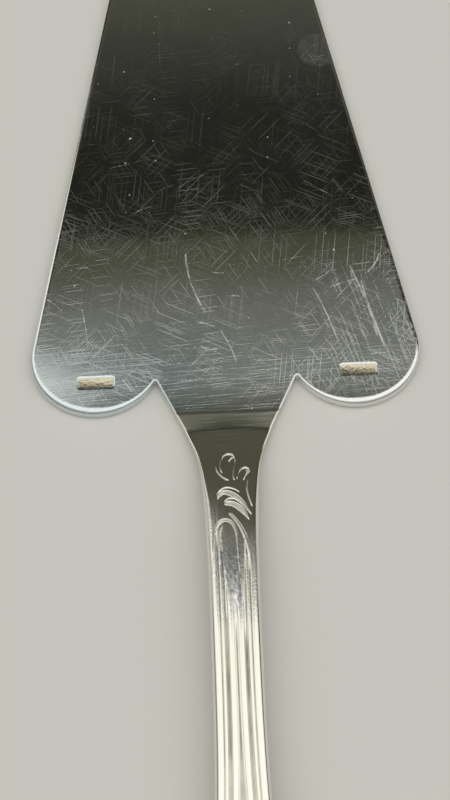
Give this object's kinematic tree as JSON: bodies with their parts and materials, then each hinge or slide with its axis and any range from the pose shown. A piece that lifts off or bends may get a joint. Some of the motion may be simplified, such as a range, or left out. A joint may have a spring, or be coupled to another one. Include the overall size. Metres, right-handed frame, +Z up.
{
  "type": "cake server",
  "caption": "Flat spade-shaped cake server with round lobes beside the neck and a low cranked handle with reeded borders and leaf scrolls, for freeing and lifting slices of cake or tart.",
  "frame": {"origin": "on the table under the middle of the server's length and width", "axes": "+Y along the server towards the tip of the blade, +X to the right seen from the handle, +Z up from the table"},
  "size_m": [0.06, 0.2498, 0.0065],
  "materials": {
    "silver_plate_blade": "polished silver plate, finely scratched by use, with a faint warm tarnish",
    "silver_solder": "silver solder, filed flush and plated over",
    "silver_plate_handle": "bright polished silver plate over struck relief"
  },
  "bodies": {
    "root": {"blade": "silver_plate_blade", "solder_seam": "silver_solder", "handle": "silver_plate_handle"}
  },
  "joints": []
}
